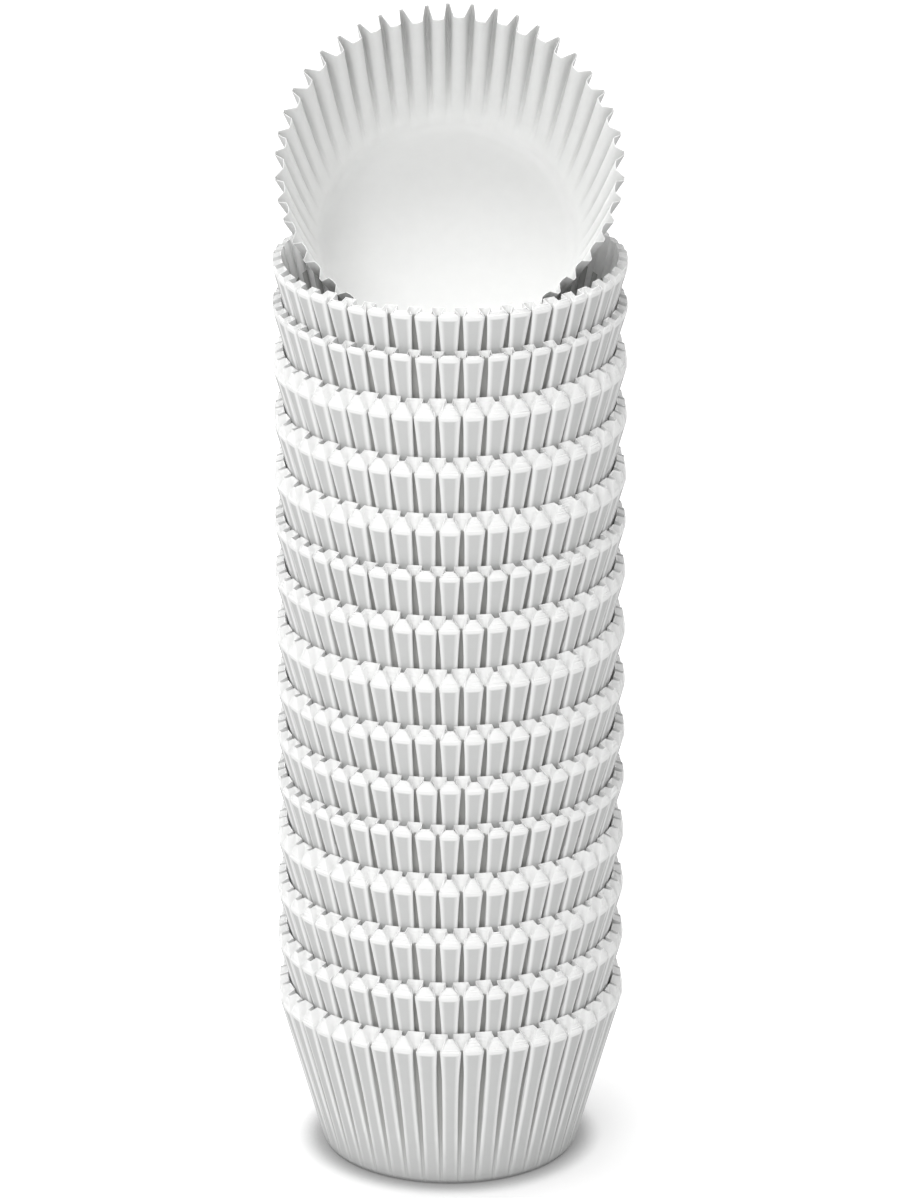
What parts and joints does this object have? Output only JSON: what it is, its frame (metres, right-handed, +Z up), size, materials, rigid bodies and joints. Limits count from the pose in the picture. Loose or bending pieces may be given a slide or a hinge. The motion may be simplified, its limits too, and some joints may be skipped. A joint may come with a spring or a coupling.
{
  "type": "stack of cupcake liners",
  "caption": "Tall free-standing stack of nested bundles of fluted paper baking cups, with one loose cup leaning open on top.",
  "frame": {"origin": "centre of the bottom bundle's floor, on the surface that the stack stands on", "axes": "+Z up the stack, -Y towards the side that the tilted liner opens to"},
  "size_m": [0.0685, 0.0695, 0.2291],
  "materials": {
    "liner_paper": "matt white greaseproof paper"
  },
  "bodies": {
    "root": {"bundle_01_outer_liner": "liner_paper", "bundle_01_packed_liners": "liner_paper", "bundle_01_inner_liner": "liner_paper", "bundle_02_outer_liner": "liner_paper", "bundle_02_packed_liners": "liner_paper", "bundle_02_inner_liner": "liner_paper", "bundle_03_outer_liner": "liner_paper", "bundle_03_packed_liners": "liner_paper", "bundle_03_inner_liner": "liner_paper", "bundle_04_outer_liner": "liner_paper", "bundle_04_packed_liners": "liner_paper", "bundle_04_inner_liner": "liner_paper", "bundle_05_outer_liner": "liner_paper", "bundle_05_packed_liners": "liner_paper", "bundle_05_inner_liner": "liner_paper", "bundle_06_outer_liner": "liner_paper", "bundle_06_packed_liners": "liner_paper", "bundle_06_inner_liner": "liner_paper", "bundle_07_outer_liner": "liner_paper", "bundle_07_packed_liners": "liner_paper", "bundle_07_inner_liner": "liner_paper", "bundle_08_outer_liner": "liner_paper", "bundle_08_packed_liners": "liner_paper", "bundle_08_inner_liner": "liner_paper", "bundle_09_outer_liner": "liner_paper", "bundle_09_packed_liners": "liner_paper", "bundle_09_inner_liner": "liner_paper", "bundle_10_outer_liner": "liner_paper", "bundle_10_packed_liners": "liner_paper", "bundle_10_inner_liner": "liner_paper", "bundle_11_outer_liner": "liner_paper", "bundle_11_packed_liners": "liner_paper", "bundle_11_inner_liner": "liner_paper", "bundle_12_outer_liner": "liner_paper", "bundle_12_packed_liners": "liner_paper", "bundle_12_inner_liner": "liner_paper", "bundle_13_outer_liner": "liner_paper", "bundle_13_packed_liners": "liner_paper", "bundle_13_inner_liner": "liner_paper", "bundle_14_outer_liner": "liner_paper", "bundle_14_packed_liners": "liner_paper", "bundle_14_inner_liner": "liner_paper", "bundle_15_outer_liner": "liner_paper", "bundle_15_packed_liners": "liner_paper", "bundle_15_inner_liner": "liner_paper", "tilted_liner": "liner_paper"}
  },
  "joints": []
}
